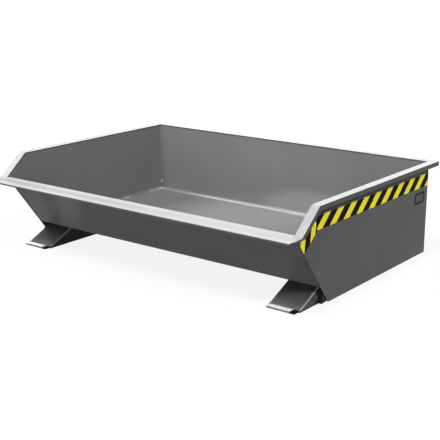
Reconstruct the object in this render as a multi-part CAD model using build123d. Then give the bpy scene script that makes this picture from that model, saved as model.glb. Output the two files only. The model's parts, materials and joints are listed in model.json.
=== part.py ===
from build123d import *
from math import atan2, cos, radians, sin, tan
import os

# Low tipping hopper for a fork-lift: a bent steel trough between two side plates, hinged at
# its front bottom edge on a base of two fork pockets.  Millimetres, +Z up, the front lip
# towards -Y, the origin on the ground below the middle of the rim's outline.

# Hopper
SIDE_SPAN = 1400.0        # over the outer faces of the side plates
RIM_HEIGHT = 380.0        # ground to the top of the rim
LIP_HEIGHT = 293.0        # ground to the top of the front lip
FLOOR_HEIGHT = 72.0       # ground to the hopper's inner floor
FLOOR_RUN = 786.0         # rear wall's outer face to the corner of the front bend
PANEL_ANGLE = 52.8        # front panel above the horizontal, degrees
SHEET = 3.0               # trough and side plates
FRONT_BEND = 12.0         # inner radius
REAR_BEND = 6.0           # inner radius
SKIRT_GAP = 6.0           # ground to the lower edge of the side plates
PLATE_EDGE = 2.0          # side plate's front edge, proud of the front panel

# Rim: a folded edge in the body's colour with a bright capping strip on it
SIDE_OVERHANG = 30.0
REAR_OVERHANG = 28.0
LIP_WIDTH = 92.0          # front lip, from the front panel's inner face to its front edge
SLOPE_FOOT = 16.0         # where the side rims start to climb, in front of the lip's inner edge
SLOPE_RUN = 104.0         # length of that climb, along the ground
CAP = 4.0
CAP_EDGE = 1.5            # rounding of the capping's long edges
FOLD = 3.0
FOLD_DROP = 14.0          # height of the fold's outer return

# Hazard tape and blank plate on the side plates
TAPE_DROP = 46.0          # rim top to the tape's upper edge, square to the rim
TAPE_HEIGHT = 50.0
TAPE = 0.4
BLANK_LENGTH = 80.0
BLANK_HEIGHT = 47.0
BLANK = 1.0
BLANK_INSET = 27.0        # from the rear wall's outer face
BLANK_DROP = 17.0         # below the tape
RIVET_DIAMETER = 6.0
RIVET_HEAD = 1.2
RIVET_INSET = 6.0

# Base: fork pockets
SIDE_GAP = 23.0           # pocket's outer cheek to the side plate's inner face
POCKET_WIDTH = 128.0      # over the cheeks
ROOF = 6.0
ROOF_EDGE = 5.0           # rounding of the roof's long edges
CHEEK = 6.0
NOSE_SETBACK = 28.0       # roof's front bend, behind the corner of the trough's front bend
NOSE_RUN = 120.0          # length of the sloping nose, along the ground
TOE = 8.0                 # thickness of the toe strip, which lies between the cheeks
TOE_REACH = 24.0          # toe strip in front of the nose
STRAP = 5.0
STRAP_WIDTH = 50.0
STRAP_SETBACK = 12.0      # front strap behind the roof's front bend
PAD = 5.7                 # rest pads on the pocket roofs
PAD_SIZE = 60.0
PAD_INSET = 90.0          # pads' middle from the pocket's rear end and from the roof's front bend
SEAT_GAP = 0.3            # pad to the hopper's floor

# Base: cross tubes
TUBE = 40.0               # square section
TUBE_WALL = 3.0
FRONT_TUBE_SETBACK = 190.0
REAR_TUBE_INSET = 50.0
RIB_DEPTH = 15.0          # ribs under the hopper's floor
RIB_GAP = 6.0             # cross tubes to those ribs
RIB_WIDTH = 50.0
RIB_SPACING = 300.0
RIB_INSET = 80.0          # rib ends from the front bend and from the rear wall

# Hinge at the front bottom edge
PIVOT_SETBACK = 12.0      # behind the corner of the front bend
PIVOT_DROP = 49.0         # below the trough's floor
PIN_DIAMETER = 12.0
PIN_FIT = 0.05            # pin in the cheek, boss and washer, radial
PIN_PLAY = 0.08           # pin in the bush, radial
PIN_HEAD_DIAMETER = 16.0
PIN_HEAD = 6.0
PIN_TAIL = 3.0            # pin's end past the lug
BOSS_DIAMETER = 20.0
BOSS_LENGTH = 9.0
WASHER = 3.0
WASHER_DIAMETER = 20.0
LUG_PLAY = 0.5            # washer to lug
LUG_RADIUS = 12.0
LUG_LENGTH = 84.0         # pivot to the lug's rear end
LUG_HEIGHT = 48.0
LUG_RISE = 9.0            # side plate's lower edge to the lug's
LUG_PAD_LENGTH = 55.0
BUSH_WALL = 2.0
CLIP = 1.2
CLIP_WIDTH = 2.5
CLIP_PLAY = 0.4           # lug to circlip

# Swing latch behind the rear wall
LATCH_DROP = 16.0         # rear cross tube's top to its pivot
LATCH_SHUT_LEAN = 5.0     # degrees past upright when it holds
LATCH_OPEN_LEAN = 40.0    # degrees the other way when it is swung off, as modelled
LATCH_PLATE = 8.0
LATCH_WIDTH = 30.0
LATCH_HUB_RADIUS = 19.0
LATCH_HOOK_RADIUS = 24.0
LATCH_HANDLE = 85.0       # handle's end past the keeper
LATCH_PLAY = 1.0          # hook round the keeper, radial
LATCH_WASHER = 1.0
LATCH_WASHER_DIAMETER = 24.0
LATCH_BOLT = 12.0
BOLT_PLAY = 0.08          # latch on its bolt, radial
BOLT_HEAD = 7.0
BOLT_FLATS = 18.0
NUT = 10.0
HEAD_PLAY = 0.4           # bolt head to latch
GRIP_LENGTH = 68.0
GRIP_WALL = 3.0
GRIP_EDGE = 2.5
STOP_DIAMETER = 10.0
STOP_OFFSET = 28.0        # stop peg's distance along the open latch
STOP_PLAY = 0.3
BRACKET = 8.0
BRACKET_WIDTH = 110.0
BRACKET_TOP_GAP = 9.0     # below the trough's floor
BRACKET_PROUD = 7.0       # bracket plate's rear face, behind the rear wall
BRACKET_WEB = 6.0
BRACKET_WEB_INSET = 7.0
KEEPER_RISE = 45.0        # keeper above the hopper's floor
KEEPER_DIAMETER = 14.0
KEEPER_CAP_DIAMETER = 26.0
KEEPER_CAP = 5.0
KEEPER_PAD = 4.0
KEEPER_PAD_SIZE = 36.0
KEEPER_PLAY = 2.0         # latch plate to the keeper's cap

# Lifting bow behind the rear wall
BOW_DROP = 55.0           # rim top to the bow's pivot
BOW_DIAMETER = 14.0
BOW_STANDOFF = 12.0       # rear wall to the bow's axis
BOW_WIDTH = 120.0         # between the middles of its legs
BOW_LENGTH = 90.0
BOW_BEND = 15.0
BOW_STUB = 27.0           # from a leg's middle to the stub's end
BOW_PLAY = 0.08           # stub in its lug, radial
BOW_LUG = 8.0
BOW_LUG_HEIGHT = 30.0
BOW_LUG_WALL = 5.0        # round the stub's hole

# Positions that follow from the sizes above.  A run is a distance forward of the rear wall's
# outer face, so a negative run lies behind the wall.
HALF_SPAN = SIDE_SPAN / 2
INNER = HALF_SPAN - SHEET
RIM_X = HALF_SPAN + SIDE_OVERHANG
UNDERSIDE = FLOOR_HEIGHT - SHEET
PANEL = radians(PANEL_ANGLE)
SHELL = CAP + FOLD
SLIGHT = 0.1              # cosine under which two directions count as square to each other


def edge_run(height):
    """Run of the side plates' front edge at a height."""
    return FLOOR_RUN + (height - UNDERSIDE) / tan(PANEL)


def panel_run(height, depth):
    """Run of a line inside the front panel, depth behind its outer face, at a height."""
    return edge_run(height) - (PLATE_EDGE + depth) / sin(PANEL)


LIP_UNDER = LIP_HEIGHT - SHELL
LIP_INNER = panel_run(LIP_UNDER, SHEET)
LIP_FRONT = LIP_INNER + LIP_WIDTH
FOOT = LIP_INNER + SLOPE_FOOT
KNEE = FOOT - SLOPE_RUN
SLOPE = atan2(RIM_HEIGHT - LIP_HEIGHT, SLOPE_RUN)
REAR = (LIP_FRONT - REAR_OVERHANG) / 2

POCKET_TOP = UNDERSIDE - SEAT_GAP - PAD
POCKET_OUTER = INNER - SIDE_GAP
POCKET_INNER = POCKET_OUTER - POCKET_WIDTH
NOSE_TOP = FLOOR_RUN - NOSE_SETBACK
NOSE_FOOT = NOSE_TOP + NOSE_RUN
NOSE = atan2(POCKET_TOP - TOE, NOSE_RUN)
NOSE_HEEL = NOSE_FOOT - ROOF / sin(NOSE)
ROOF_KNEE = NOSE_TOP - ROOF * tan(NOSE / 2)
TUBE_TOP = UNDERSIDE - RIB_DEPTH - RIB_GAP
TUBE_FOOT = TUBE_TOP - TUBE

PIVOT = FLOOR_RUN - PIVOT_SETBACK
PIVOT_HEIGHT = UNDERSIDE - PIVOT_DROP
LUG_INNER = POCKET_OUTER + BOSS_LENGTH + WASHER + LUG_PLAY

LATCH_HEIGHT = TUBE_TOP - LATCH_DROP
KEEPER_HEIGHT = FLOOR_HEIGHT + KEEPER_RISE
LATCH_REACH = (KEEPER_HEIGHT - LATCH_HEIGHT) / cos(radians(LATCH_SHUT_LEAN))
LATCH_FRONT = BRACKET_PROUD + LATCH_WASHER
LATCH_BACK = LATCH_FRONT + LATCH_PLATE
KEEPER_X = -LATCH_REACH * sin(radians(LATCH_SHUT_LEAN))
BOW_HEIGHT = RIM_HEIGHT - BOW_DROP


def fwd(run):
    """Y of a place that lies a run in front of the rear wall's outer face."""
    return REAR - run


def outline(*corners):
    """Face in (y, z) from corners given as (run, height)."""
    return make_face(Polyline(*[(fwd(run), height) for run, height in corners], close=True))


def across(face, x_from, x_to):
    """Plate of a (y, z) face, standing between two X positions."""
    return Pos(x_from, 0, 0) * extrude(Plane.YZ * face, x_to - x_from, dir=(1, 0, 0))


def block(x_span, run_span, z_span):
    """Box between pairs of X, run and Z."""
    corner = (min(x_span), fwd(max(run_span)), min(z_span))
    size = [abs(high - low) for low, high in (x_span, run_span, z_span)]
    return Pos(*corner) * Box(*size, align=Align.MIN)


def rod(diameter, x_from, x_to, run, height):
    """Cylinder along X."""
    low = min(x_from, x_to)
    length = abs(x_to - x_from)
    upright = Cylinder(diameter / 2, length, align=(Align.CENTER, Align.CENTER, Align.MIN))
    return Pos(low, fwd(run), height) * Rot(0, 90, 0) * upright


def stem(profile, x, run_from, run_to, height):
    """Prism along Y of a profile drawn about its own middle."""
    back = min(run_from, run_to)
    return Pos(x, fwd(back), height) * extrude(Plane.XZ * profile, abs(run_to - run_from))


def below_rim(depth, rear):
    """Everything lower than a line that keeps a depth under the rim's top, in front of a run."""
    level = RIM_HEIGHT - depth
    knee = KNEE - depth * tan(SLOPE / 2)
    foot_level = LIP_HEIGHT - depth / cos(SLOPE)
    return outline((rear, 0), (rear, level), (knee, level), (FOOT, foot_level), (FOOT, 0))


def rim_band(upper, lower, rear):
    """Strip between two depths under the rim's top."""
    return below_rim(upper, rear) - below_rim(lower, rear)


def long_upper_edges(part):
    """Edges of the upward faces that run along the piece rather than across it."""
    upward = part.faces().filter_by(lambda face: face.normal_at().Z > SLIGHT)
    return upward.edges().filter_by(lambda edge: abs(edge.tangent_at(0.5).X) < SLIGHT)


# Hopper: trough and side plates

def trough():
    """Front panel, floor and rear wall, bent from one sheet."""
    middle = SHEET / 2
    floor = UNDERSIDE + middle
    above = LIP_HEIGHT
    path = FilletPolyline(
        (fwd(panel_run(above, middle)), above),
        (fwd(panel_run(floor, middle)), floor),
        (fwd(middle), floor),
        (fwd(middle), RIM_HEIGHT - SHELL),
        radius=[FRONT_BEND + middle, REAR_BEND + middle],
    )
    sheet = across(trace(path, SHEET), -INNER, INNER)
    trim = block((-INNER, INNER), (KNEE, LIP_FRONT), (LIP_UNDER, RIM_HEIGHT))
    return sheet - trim


def side_face():
    """Outline of a side plate: under the rim's fold and behind the front edge."""
    under = below_rim(SHELL, 0)
    behind = outline((0, SKIRT_GAP), (0, RIM_HEIGHT),
                     (edge_run(RIM_HEIGHT), RIM_HEIGHT), (edge_run(SKIRT_GAP), SKIRT_GAP))
    return under & behind


def side_plate(side):
    return across(side_face(), *sorted((side * INNER, side * HALF_SPAN)))


def floor_rib(position):
    """Folded channel under the floor, along the hopper."""
    middle = position * RIB_SPACING
    runs = (RIB_INSET, FLOOR_RUN - RIB_INSET)
    half = RIB_WIDTH / 2
    hollow = half - SHEET
    foot = UNDERSIDE - RIB_DEPTH
    outer = block((middle - half, middle + half), runs, (foot, UNDERSIDE))
    inside = block((middle - hollow, middle + hollow), runs, (foot + SHEET, UNDERSIDE))
    return outer - inside


# Hopper: rim

def side_fold(side):
    """Flange over the side plate, closed at the rear corner, its return cut off at the lip's underside."""
    flange = across(rim_band(CAP, SHELL, -REAR_OVERHANG), *sorted((side * INNER, side * RIM_X)))
    outer = sorted((side * (RIM_X - FOLD), side * RIM_X))
    drop = across(rim_band(CAP, CAP + FOLD_DROP, -REAR_OVERHANG), *outer)
    drop -= block(outer, (KNEE, FOOT), (0, LIP_UNDER))
    end = block((side * INNER, side * RIM_X), (-REAR_OVERHANG, FOLD - REAR_OVERHANG),
                (RIM_HEIGHT - CAP - FOLD_DROP, RIM_HEIGHT - CAP))
    return flange + drop + end


def rear_fold():
    top = RIM_HEIGHT - CAP
    flange = block((-INNER, INNER), (-REAR_OVERHANG, SHEET), (top - FOLD, top))
    drop = block((-INNER, INNER), (-REAR_OVERHANG, FOLD - REAR_OVERHANG), (top - FOLD_DROP, top))
    return flange + drop


def lip_layer(heights):
    """Flat layer of the front lip, cut back at its ends to clear the climbing side rims."""
    middle = block((-INNER, INNER), (LIP_INNER, FOOT), heights)
    front = block((-RIM_X, RIM_X), (FOOT, LIP_FRONT), heights)
    return middle + front


def front_fold():
    """Front lip, turned out flat so that the load slides off it."""
    return lip_layer((LIP_HEIGHT - SHELL, LIP_HEIGHT - CAP))


def side_cap(side):
    strip = across(rim_band(0, CAP, -REAR_OVERHANG), *sorted((side * INNER, side * RIM_X)))
    return fillet(long_upper_edges(strip), CAP_EDGE)


def rear_cap():
    strip = block((-INNER, INNER), (-REAR_OVERHANG, SHEET), (RIM_HEIGHT - CAP, RIM_HEIGHT))
    return fillet(strip.edges().filter_by(Axis.X).group_by(Axis.Z)[-1], CAP_EDGE)


def front_cap():
    strip = lip_layer((LIP_HEIGHT - CAP, LIP_HEIGHT))
    return fillet(strip.edges().group_by(Axis.Z)[-1].filter_by(Axis.X), CAP_EDGE)


# Hopper: tape and blank plate

def hazard_tape(side):
    face = rim_band(TAPE_DROP, TAPE_DROP + TAPE_HEIGHT, 0) & side_face()
    return across(face, *sorted((side * HALF_SPAN, side * (HALF_SPAN + TAPE))))


def blank_spans():
    top = RIM_HEIGHT - TAPE_DROP - TAPE_HEIGHT - BLANK_DROP
    return (BLANK_INSET, BLANK_INSET + BLANK_LENGTH), (top - BLANK_HEIGHT, top)


def blank_plate():
    runs, heights = blank_spans()
    return block((HALF_SPAN, HALF_SPAN + BLANK), runs, heights)


def blank_rivets():
    runs, heights = blank_spans()
    face = HALF_SPAN + BLANK
    heads = [rod(RIVET_DIAMETER, face, face + RIVET_HEAD, run, height)
             for run in (runs[0] + RIVET_INSET, runs[1] - RIVET_INSET)
             for height in (heights[0] + RIVET_INSET, heights[1] - RIVET_INSET)]
    return Compound(children=heads)


# Base: fork pockets and cross tubes

def pocket_span(side):
    return sorted((side * POCKET_INNER, side * POCKET_OUTER))


def pocket_roof(side):
    """Roof and sloping nose, bent from one plate, rounded along its sides."""
    face = outline((0, POCKET_TOP), (NOSE_TOP, POCKET_TOP), (NOSE_FOOT, TOE),
                   (NOSE_HEEL, TOE), (ROOF_KNEE, POCKET_TOP - ROOF), (0, POCKET_TOP - ROOF))
    plate = across(face, *pocket_span(side))
    return fillet(long_upper_edges(plate), ROOF_EDGE)


def pocket_cheek(side, outer):
    """Upright plate under the roof; the outer one has the hinge pin's hole."""
    face = outline((0, 0), (NOSE_FOOT, 0), (NOSE_FOOT, TOE), (NOSE_HEEL, TOE),
                   (ROOF_KNEE, POCKET_TOP - ROOF), (0, POCKET_TOP - ROOF))
    edge = POCKET_OUTER if outer else POCKET_INNER + CHEEK
    plate = across(face, *sorted((side * (edge - CHEEK), side * edge)))
    if outer:
        plate -= rod(PIN_DIAMETER + 2 * PIN_FIT, side * (edge - CHEEK), side * edge,
                     PIVOT, PIVOT_HEIGHT)
    return plate


def toe_strip(side):
    low, high = pocket_span(side)
    return block((low + CHEEK, high - CHEEK), (NOSE_HEEL, NOSE_FOOT + TOE_REACH), (0, TOE))


def pocket_straps(side):
    """Flat bars under the fork, between the cheeks."""
    low, high = pocket_span(side)
    front = NOSE_TOP - STRAP_SETBACK
    return Compound(children=[
        block((low + CHEEK, high - CHEEK), runs, (0, STRAP))
        for runs in ((0, STRAP_WIDTH), (front - STRAP_WIDTH, front))
    ])


def cross_tube(run):
    half = TUBE / 2
    ends = (-POCKET_INNER, POCKET_INNER)
    tube = block(ends, (run - half, run + half), (TUBE_FOOT, TUBE_TOP))
    hollow = block(ends, (run - half + TUBE_WALL, run + half - TUBE_WALL),
                   (TUBE_FOOT + TUBE_WALL, TUBE_TOP - TUBE_WALL))
    return tube - hollow


def rest_pads():
    """Rubber pads on the pocket roofs, just under the hopper's floor."""
    half = PAD_SIZE / 2
    middle = (POCKET_INNER + POCKET_OUTER) / 2
    return Compound(children=[
        block((side * middle - half, side * middle + half), (run - half, run + half),
              (POCKET_TOP, POCKET_TOP + PAD))
        for side in (-1, 1)
        for run in (PAD_INSET, NOSE_TOP - PAD_INSET)
    ])


# Hinge

def hinge_rod(diameter, side, start, end):
    """Cylinder on the tipping axis between two distances from the middle."""
    return rod(diameter, side * start, side * end, PIVOT, PIVOT_HEIGHT)


def hinge_ring(diameter, bore, side, start, end):
    return hinge_rod(diameter, side, start, end) - hinge_rod(bore, side, start, end)


def hinge_boss(side):
    bore = PIN_DIAMETER + 2 * PIN_FIT
    return hinge_ring(BOSS_DIAMETER, bore, side, POCKET_OUTER, POCKET_OUTER + BOSS_LENGTH)


def hinge_washer(side):
    start = POCKET_OUTER + BOSS_LENGTH
    return hinge_ring(WASHER_DIAMETER, PIN_DIAMETER + 2 * PIN_FIT, side, start, start + WASHER)


def hinge_pin(side):
    """Headed pin, put in from inside the pocket."""
    seat = POCKET_OUTER - CHEEK
    head = hinge_rod(PIN_HEAD_DIAMETER, side, seat - PIN_HEAD, seat)
    return head + hinge_rod(PIN_DIAMETER, side, seat, INNER + PIN_TAIL)


def hinge_clip(side):
    start = INNER + CLIP_PLAY
    return hinge_ring(PIN_DIAMETER + 2 * CLIP_WIDTH, PIN_DIAMETER, side, start, start + CLIP)


def hinge_bush(side):
    bore = PIN_DIAMETER + 2 * PIN_PLAY
    return hinge_ring(bore + 2 * BUSH_WALL, bore, side, LUG_INNER, INNER)


def hinge_lug(side):
    """Lug on the side plate's inner face, reaching forward to the tipping axis."""
    eye = Pos(fwd(PIVOT), PIVOT_HEIGHT) * Circle(LUG_RADIUS)
    pad = Rectangle(LUG_PAD_LENGTH, LUG_HEIGHT, align=(Align.MAX, Align.MIN))
    pad = Pos(fwd(PIVOT - LUG_LENGTH), SKIRT_GAP + LUG_RISE) * pad
    body = make_hull(eye.edges() + pad.edges())
    plate = across(body, *sorted((side * LUG_INNER, side * INNER)))
    bore = PIN_DIAMETER + 2 * PIN_PLAY + 2 * BUSH_WALL
    return plate - hinge_rod(bore, side, LUG_INNER, INNER)


# Latch

def hexagon():
    return RegularPolygon(BOLT_FLATS / 2, 6, major_radius=False)


def latch_bracket():
    """Plate behind the rear cross tube, carried by two webs."""
    half = BRACKET_WIDTH / 2
    face = BRACKET - BRACKET_PROUD
    plate = block((-half, half), (-BRACKET_PROUD, face), (TUBE_FOOT, UNDERSIDE - BRACKET_TOP_GAP))
    for side in (-1, 1):
        edge = side * (half - BRACKET_WEB_INSET)
        plate += block((edge, edge - side * BRACKET_WEB), (face, REAR_TUBE_INSET - TUBE / 2),
                       (TUBE_FOOT, TUBE_TOP))
    return plate - stem(Circle(LATCH_BOLT / 2 + BOLT_PLAY), 0, -BRACKET_PROUD, face, LATCH_HEIGHT)


def latch_washer():
    ring = Circle(LATCH_WASHER_DIAMETER / 2) - Circle(LATCH_BOLT / 2 + BOLT_PLAY)
    return stem(ring, 0, -LATCH_FRONT, -BRACKET_PROUD, LATCH_HEIGHT)


def latch_bolt():
    head = LATCH_BACK + HEAD_PLAY
    tail = BRACKET - BRACKET_PROUD + NUT
    shank = stem(Circle(LATCH_BOLT / 2), 0, -head, tail, LATCH_HEIGHT)
    return shank + stem(hexagon(), 0, -head - BOLT_HEAD, -head, LATCH_HEIGHT)


def latch_nut():
    face = BRACKET - BRACKET_PROUD
    return stem(hexagon() - Circle(LATCH_BOLT / 2), 0, face, face + NUT, LATCH_HEIGHT)


def latch_stop():
    """Peg that the swung-off latch leans on."""
    lean = radians(LATCH_OPEN_LEAN)
    aside = LATCH_WIDTH / 2 + STOP_PLAY + STOP_DIAMETER / 2
    x = aside * cos(lean) + STOP_OFFSET * sin(lean)
    height = LATCH_HEIGHT - aside * sin(lean) + STOP_OFFSET * cos(lean)
    return stem(Circle(STOP_DIAMETER / 2), x, -LATCH_BACK, -BRACKET_PROUD, height)


def swung_off(piece):
    """Leans a latch piece, drawn upright about its pivot, into its open place."""
    return Pos(0, 0, LATCH_HEIGHT) * Rot(0, LATCH_OPEN_LEAN, 0) * piece


def latch_end():
    return LATCH_REACH + LATCH_HANDLE


def latch_lever():
    """Hook plate with a handle; its mouth is an arc about the pivot, open to one side."""
    mouth = KEEPER_DIAMETER / 2 + LATCH_PLAY
    bar = Pos(0, latch_end() / 2) * Rectangle(LATCH_WIDTH, latch_end())
    hook = Pos(0, LATCH_REACH) * Circle(LATCH_HOOK_RADIUS)
    ring = Circle(LATCH_REACH + mouth) - Circle(LATCH_REACH - mouth)
    half_ring = ring & Pos(-LATCH_REACH, LATCH_REACH) * Rectangle(2 * LATCH_REACH, 2 * LATCH_REACH)
    opening = half_ring + Pos(0, LATCH_REACH) * Circle(mouth)
    face = Circle(LATCH_HUB_RADIUS) + bar + hook - opening - Circle(LATCH_BOLT / 2 + BOLT_PLAY)
    return swung_off(stem(face, 0, -LATCH_BACK, -LATCH_FRONT, 0))


def latch_grip():
    """Rubber sleeve on the handle's end."""
    half = LATCH_WIDTH / 2 + GRIP_WALL
    heights = (latch_end() + GRIP_WALL - GRIP_LENGTH, latch_end() + GRIP_WALL)
    sleeve = block((-half, half), (-LATCH_BACK - GRIP_WALL, GRIP_WALL - LATCH_FRONT), heights)
    sleeve = fillet(sleeve.edges().filter_by(Axis.Z) + sleeve.edges().group_by(Axis.Z)[-1], GRIP_EDGE)
    handle = block((-LATCH_WIDTH / 2, LATCH_WIDTH / 2), (-LATCH_BACK, -LATCH_FRONT), (0, latch_end()))
    return swung_off(sleeve - handle)


def keeper_pad():
    half = KEEPER_PAD_SIZE / 2
    return block((KEEPER_X - half, KEEPER_X + half), (-KEEPER_PAD, 0),
                 (KEEPER_HEIGHT - half, KEEPER_HEIGHT + half))


def keeper_stud():
    end = LATCH_BACK + KEEPER_PLAY
    return stem(Circle(KEEPER_DIAMETER / 2), KEEPER_X, -end, -KEEPER_PAD, KEEPER_HEIGHT)


def keeper_cap():
    """Disc on the stud's end that keeps the latch from slipping off."""
    end = LATCH_BACK + KEEPER_PLAY
    return stem(Circle(KEEPER_CAP_DIAMETER / 2), KEEPER_X, -end - KEEPER_CAP, -end, KEEPER_HEIGHT)


# Lifting bow

def lifting_bow():
    """Round bar bent to a bow, with a stub at each end to turn in the lugs."""
    leg = BOW_WIDTH / 2
    end = leg + BOW_STUB
    path = FilletPolyline((-end, 0), (-leg, 0), (-leg, -BOW_LENGTH), (leg, -BOW_LENGTH), (leg, 0), (end, 0),
                          radius=BOW_BEND)
    line = Pos(0, fwd(-BOW_STANDOFF), BOW_HEIGHT) * (Plane.XZ * path)
    section = Plane(line @ 0, z_dir=line % 0) * Circle(BOW_DIAMETER / 2)
    return sweep(section, path=line)


def bow_lugs():
    outer = BOW_WIDTH / 2 + BOW_STUB
    reach = BOW_STANDOFF + BOW_DIAMETER / 2 + BOW_LUG_WALL
    lugs = []
    for side in (-1, 1):
        span = (side * (outer - BOW_LUG), side * outer)
        plate = block(span, (-reach, 0), (BOW_HEIGHT - BOW_LUG_HEIGHT / 2, BOW_HEIGHT + BOW_LUG_HEIGHT / 2))
        hole = rod(BOW_DIAMETER + 2 * BOW_PLAY, *span, -BOW_STANDOFF, BOW_HEIGHT)
        lugs.append(plate - hole)
    return Compound(children=lugs)


nodes = {
    "trough_sheet": trough(),
    "rear_rim_fold": rear_fold(),
    "front_rim_fold": front_fold(),
    "rear_rim_cap": rear_cap(),
    "front_rim_cap": front_cap(),
    "left_floor_rib": floor_rib(-1),
    "middle_floor_rib": floor_rib(0),
    "right_floor_rib": floor_rib(1),
    "blank_plate": blank_plate(),
    "blank_plate_rivets": blank_rivets(),
    "front_cross_tube": cross_tube(NOSE_TOP - FRONT_TUBE_SETBACK),
    "rear_cross_tube": cross_tube(REAR_TUBE_INSET),
    "rest_pads": rest_pads(),
    "latch_bracket": latch_bracket(),
    "latch_washer": latch_washer(),
    "latch_bolt": latch_bolt(),
    "latch_nut": latch_nut(),
    "latch_stop": latch_stop(),
    "latch_lever": latch_lever(),
    "latch_grip": latch_grip(),
    "keeper_pad": keeper_pad(),
    "keeper_stud": keeper_stud(),
    "keeper_cap": keeper_cap(),
    "lifting_bow": lifting_bow(),
    "bow_lugs": bow_lugs(),
}
for name, side in (("left", -1), ("right", 1)):
    nodes[name + "_side_plate"] = side_plate(side)
    nodes[name + "_rim_fold"] = side_fold(side)
    nodes[name + "_rim_cap"] = side_cap(side)
    nodes[name + "_hazard_tape"] = hazard_tape(side)
    nodes[name + "_pocket_roof"] = pocket_roof(side)
    nodes[name + "_outer_cheek"] = pocket_cheek(side, outer=True)
    nodes[name + "_inner_cheek"] = pocket_cheek(side, outer=False)
    nodes[name + "_toe_strip"] = toe_strip(side)
    nodes[name + "_pocket_straps"] = pocket_straps(side)
    nodes[name + "_hinge_boss"] = hinge_boss(side)
    nodes[name + "_hinge_washer"] = hinge_washer(side)
    nodes[name + "_hinge_pin"] = hinge_pin(side)
    nodes[name + "_hinge_clip"] = hinge_clip(side)
    nodes[name + "_hinge_bush"] = hinge_bush(side)
    nodes[name + "_hinge_lug"] = hinge_lug(side)

os.makedirs("parts", exist_ok=True)
for name, piece in nodes.items():
    export_step(piece, "parts/" + name + ".step")

print("tipping axis: y", round(fwd(PIVOT), 3), "z", round(PIVOT_HEIGHT, 3))
print("latch axis: y", round(fwd(-LATCH_BACK), 3), "z", round(LATCH_HEIGHT, 3))
print("bow axis: y", round(fwd(-BOW_STANDOFF), 3), "z", round(BOW_HEIGHT, 3))
print("rear wall's outer face: y", round(REAR, 3))
print("fork pocket: x", round(POCKET_INNER + CHEEK, 3), "to", round(POCKET_OUTER - CHEEK, 3),
      "z", STRAP, "to", round(POCKET_TOP - ROOF, 3), "front y", round(fwd(NOSE_TOP), 3))
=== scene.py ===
# %% [markdown]
# # A low tipping hopper
# The hopper is a wide, shallow steel trough on two fork pockets.  The CAD model gives every
# plate, pin and joint at its real size.  This lesson gives them their looks: paint and its
# wear, bare and galvanised steel, rubber, hazard tape, and the weld seams that hold the sheets
# together.
#
# The frame comes first.  Everything below is measured from it, so nothing has to be fitted
# by eye, and one value turns millimetres into Blender's metres.

# %% The CAD frame
import json
from math import cos, pi, radians, sin, tan

import bmesh
import bpy
from mathutils import Matrix, Vector


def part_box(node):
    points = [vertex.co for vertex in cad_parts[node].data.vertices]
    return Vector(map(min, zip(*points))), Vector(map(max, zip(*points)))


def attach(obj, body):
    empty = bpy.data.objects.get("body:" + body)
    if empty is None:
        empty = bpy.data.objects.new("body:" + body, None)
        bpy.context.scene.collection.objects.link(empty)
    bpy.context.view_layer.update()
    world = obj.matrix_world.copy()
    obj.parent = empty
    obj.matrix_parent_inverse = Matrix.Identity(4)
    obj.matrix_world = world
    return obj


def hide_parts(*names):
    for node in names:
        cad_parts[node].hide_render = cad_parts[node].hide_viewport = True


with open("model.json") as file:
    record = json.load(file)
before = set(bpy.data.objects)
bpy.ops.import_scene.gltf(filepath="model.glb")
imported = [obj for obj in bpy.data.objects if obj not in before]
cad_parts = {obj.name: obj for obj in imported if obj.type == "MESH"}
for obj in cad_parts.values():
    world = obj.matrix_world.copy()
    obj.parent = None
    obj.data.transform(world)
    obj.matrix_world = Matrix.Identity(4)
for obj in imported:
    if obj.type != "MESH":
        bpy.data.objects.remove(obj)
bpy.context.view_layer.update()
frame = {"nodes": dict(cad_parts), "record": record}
MM = 0.001

# %% [markdown]
# ## Camera
# The photograph was taken from the front right, a little above the rim.  A camera could be
# placed by hand until the picture fits, but its numbers are then hard to read.  Here it is
# placed by what a photographer would say: where it aims, how far round and how high it stands,
# and how long the lens is.

# %% Camera
AIM = Vector((0.0351, 0.0142, 0.1344))
AZIMUTH = radians(37.565)         # round to the right, from straight ahead
ELEVATION = radians(15.485)
DISTANCE = 3.9437
LENS = 79.96                      # millimetres, as the sensor is
SENSOR = 36.0

level = cos(ELEVATION)
towards_camera = Vector((sin(AZIMUTH) * level, -cos(AZIMUTH) * level, sin(ELEVATION)))
camera_data = bpy.data.cameras.new("camera")
camera_data.lens = LENS
camera_data.sensor_width = SENSOR
camera = bpy.data.objects.new("camera", camera_data)
camera.location = AIM + DISTANCE * towards_camera
camera.rotation_euler = towards_camera.to_track_quat("Z", "Y").to_euler()
bpy.context.scene.collection.objects.link(camera)
bpy.context.scene.camera = camera
bpy.context.scene.view_settings.view_transform = "Standard"
print("camera at", [round(value, 3) for value in camera.location])

# %% [markdown]
# ## Small helpers for materials
# Colours are written as they are picked on a screen, in sRGB, and a shader wants them linear,
# so one function turns the first into the second.  A node tree is a list of nodes with their
# settings and what feeds them, so one more function adds a node with both.  A pattern's scale
# is how often it repeats in a metre, and that follows from its size in millimetres.

# %% Helpers for materials
def linear(hex_colour):
    """Linear RGBA of an sRGB colour such as "6a6a6a"."""
    channels = [int(hex_colour[at:at + 2], 16) / 255 for at in (0, 2, 4)]
    return [c / 12.92 if c <= 0.04045 else ((c + 0.055) / 1.055) ** 2.4 for c in channels] + [1.0]


def add(tree, kind, inputs=None, stops=(), **settings):
    """Adds a node; inputs are values or the sockets that feed it, stops are a ramp's colours."""
    made = tree.nodes.new("ShaderNode" + kind)
    for name, value in settings.items():
        setattr(made, name, value)
    for name, value in (inputs or {}).items():
        if isinstance(value, bpy.types.NodeSocket):
            tree.links.new(value, made.inputs[name])
        else:
            made.inputs[name].default_value = value
    for at, (position, colour) in enumerate(stops):
        made.color_ramp.elements[at].position = position
        made.color_ramp.elements[at].color = linear(colour)
    return made


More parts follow.
